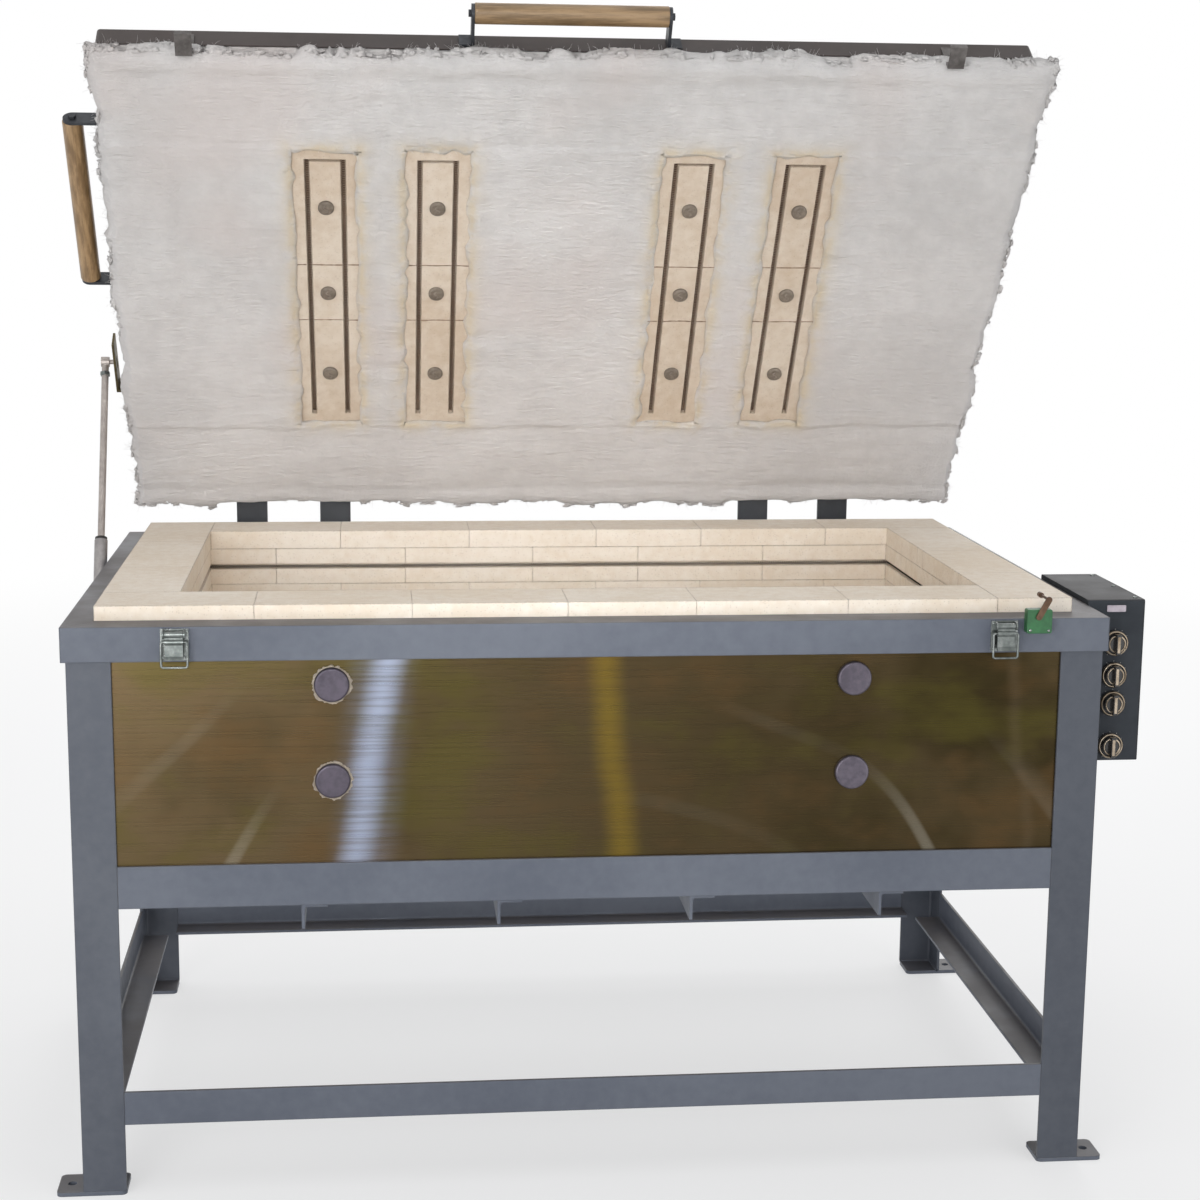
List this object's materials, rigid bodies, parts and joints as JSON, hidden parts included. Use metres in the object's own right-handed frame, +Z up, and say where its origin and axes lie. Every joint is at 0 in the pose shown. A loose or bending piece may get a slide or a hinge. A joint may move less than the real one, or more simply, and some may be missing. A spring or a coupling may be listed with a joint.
{
  "type": "glass fusing kiln",
  "caption": "Floor-standing glass fusing kiln: angle-iron stand, firebrick chamber and a fibre-lined lid on rear hinges, held open by a gas spring.",
  "frame": {"origin": "on the floor, in the middle of the four bolt holes of the feet", "axes": "+X to the right of someone at the front, +Y to the hinge side, +Z up"},
  "size_m": [1.6655, 0.9982, 1.7672],
  "materials": {
    "frame_paint": "satin blue-grey paint",
    "lid_paint": "satin dark slate paint",
    "hinge_paint": "satin dark grey paint",
    "box_paint": "satin slate paint",
    "bright_sheet": "bright rolled sheet",
    "pan_sheet": "plain mill sheet",
    "firebrick": "porous insulating firebrick",
    "fibre_blanket": "soft ceramic fibre",
    "backing_board": "matt fibre board",
    "element_wire": "oxidised resistance wire",
    "button_ceramic": "glazed grey ceramic",
    "grip_wood": "satin turned wood",
    "dark_steel": "dark blackened steel",
    "bright_zinc": "bright zinc plate",
    "plug_metal": "cast aluminium",
    "knob_plastic": "black moulded knob",
    "switch_green": "green moulded housing",
    "switch_lever_metal": "dull bronze lever",
    "spring_tube": "grey painted tube",
    "spring_rod": "polished rod",
    "switch_body_plastic": "dark moulded plastic",
    "gland_plastic": "grey moulded plastic"
  },
  "bodies": {
    "stand": {"leg_front_left": "frame_paint", "leg_front_right": "frame_paint", "leg_rear_left": "frame_paint", "leg_rear_right": "frame_paint", "foot_plates": "frame_paint", "belly_rails": "frame_paint", "stretchers": "frame_paint", "cross_members": "frame_paint", "rim_front": "frame_paint", "rim_rear": "frame_paint", "rim_left": "frame_paint", "rim_right": "frame_paint", "hinge_posts": "hinge_paint", "control_box": "box_paint", "control_box_cover": "box_paint", "panel_front": "bright_sheet", "side_panels": "bright_sheet", "panel_rear": "bright_sheet", "floor_pan": "pan_sheet", "floor_bricks": "firebrick", "wall_bricks_front": "firebrick", "wall_bricks_rear": "firebrick", "wall_bricks_left": "firebrick", "wall_bricks_right": "firebrick", "backup_insulation": "backing_board", "wall_element": "element_wire", "spring_foot_bracket": "dark_steel", "hinge_pins": "dark_steel", "latch_bases": "bright_zinc", "lid_switch_body": "switch_green", "rotary_switches": "switch_body_plastic", "cord_gland": "gland_plastic"},
    "lid": {"lid_shell": "lid_paint", "lid_blanket": "fibre_blanket", "lid_bricks": "firebrick", "lid_elements": "element_wire", "lid_buttons": "button_ceramic", "hinge_leaves": "hinge_paint", "front_handle_brackets": "dark_steel", "front_handle_grip": "grip_wood", "side_handle_brackets": "dark_steel", "side_handle_grip": "grip_wood", "handle_bolts": "dark_steel", "spring_lid_bracket": "dark_steel", "latch_keepers": "bright_zinc"},
    "spring_cylinder": {"spring_cylinder": "spring_tube"},
    "spring_rod": {"spring_rod": "spring_rod"},
    "lid_switch_lever": {"lid_switch_lever": "switch_lever_metal"},
    "latch_lever_left": {"latch_lever_left": "bright_zinc"},
    "latch_lever_right": {"latch_lever_right": "bright_zinc"},
    "latch_bail_left": {"latch_bail_left": "bright_zinc"},
    "latch_bail_right": {"latch_bail_right": "bright_zinc"},
    "knob_1": {"knob_1": "knob_plastic"},
    "knob_2": {"knob_2": "knob_plastic"},
    "knob_3": {"knob_3": "knob_plastic"},
    "knob_4": {"knob_4": "knob_plastic"},
    "peep_plug_1": {"peep_plug_1": "plug_metal"},
    "peep_plug_2": {"peep_plug_2": "plug_metal"},
    "peep_plug_3": {"peep_plug_3": "plug_metal"},
    "peep_plug_4": {"peep_plug_4": "plug_metal"}
  },
  "joints": [
    {"name": "lid_hinge", "type": "hinge", "parent": "stand", "child": "lid", "pos_m": [0, 0.5027, 0.922], "axis": [1, 0, 0], "range_deg": [0, 56]},
    {"name": "spring_pivot", "type": "hinge", "parent": "stand", "child": "spring_cylinder", "pos_m": [-0.785, 0.005, 0.4775], "axis": [1, 0, 0], "range_deg": [0, 2.42]},
    {"name": "spring_stroke", "type": "slide", "parent": "spring_cylinder", "child": "spring_rod", "axis": [0, -0.4246, -0.9054], "range_m": [0, 0.2893]},
    {"name": "lid_switch_pivot", "type": "hinge", "parent": "stand", "child": "lid_switch_lever", "pos_m": [0.652, -0.476, 0.868], "axis": [0, 1, 0], "range_deg": [0, 41.7]},
    {"name": "latch_lever_left_pivot", "type": "hinge", "parent": "stand", "child": "latch_lever_left", "pos_m": [-0.605, -0.472, 0.854], "axis": [-1, 0, 0], "range_deg": [0, 90]},
    {"name": "latch_bail_left_pivot", "type": "hinge", "parent": "latch_lever_left", "child": "latch_bail_left", "pos_m": [-0.605, -0.472, 0.843], "axis": [1, 0, 0], "range_deg": [-180, 0]},
    {"name": "latch_lever_right_pivot", "type": "hinge", "parent": "stand", "child": "latch_lever_right", "pos_m": [0.605, -0.472, 0.854], "axis": [-1, 0, 0], "range_deg": [0, 90]},
    {"name": "latch_bail_right_pivot", "type": "hinge", "parent": "latch_lever_right", "child": "latch_bail_right", "pos_m": [0.605, -0.472, 0.843], "axis": [1, 0, 0], "range_deg": [-180, 0]},
    {"name": "knob_1_turn", "type": "hinge", "parent": "stand", "child": "knob_1", "pos_m": [0.811, -0.358, 0.804], "axis": [0, -1, 0], "range_deg": [0, 270]},
    {"name": "knob_2_turn", "type": "hinge", "parent": "stand", "child": "knob_2", "pos_m": [0.811, -0.358, 0.754], "axis": [0, -1, 0], "range_deg": [0, 270]},
    {"name": "knob_3_turn", "type": "hinge", "parent": "stand", "child": "knob_3", "pos_m": [0.811, -0.358, 0.709], "axis": [0, -1, 0], "range_deg": [0, 270]},
    {"name": "knob_4_turn", "type": "hinge", "parent": "stand", "child": "knob_4", "pos_m": [0.811, -0.358, 0.642], "axis": [0, -1, 0], "range_deg": [0, 270]},
    {"name": "peep_plug_1_pull", "type": "slide", "parent": "stand", "child": "peep_plug_1", "axis": [0, -1, 0], "range_m": [0, 0.155]},
    {"name": "peep_plug_2_pull", "type": "slide", "parent": "stand", "child": "peep_plug_2", "axis": [0, -1, 0], "range_m": [0, 0.155]},
    {"name": "peep_plug_3_pull", "type": "slide", "parent": "stand", "child": "peep_plug_3", "axis": [0, -1, 0], "range_m": [0, 0.155]},
    {"name": "peep_plug_4_pull", "type": "slide", "parent": "stand", "child": "peep_plug_4", "axis": [0, -1, 0], "range_m": [0, 0.155]}
  ],
  "couplings": [
    {"joint": "spring_pivot", "follows": "lid_hinge", "ratio": 0.042241},
    {"joint": "spring_stroke", "follows": "lid_hinge", "m_per_rad": 0.29547},
    {"joint": "lid_switch_pivot", "follows": "lid_hinge", "ratio": 0.74107}
  ]
}
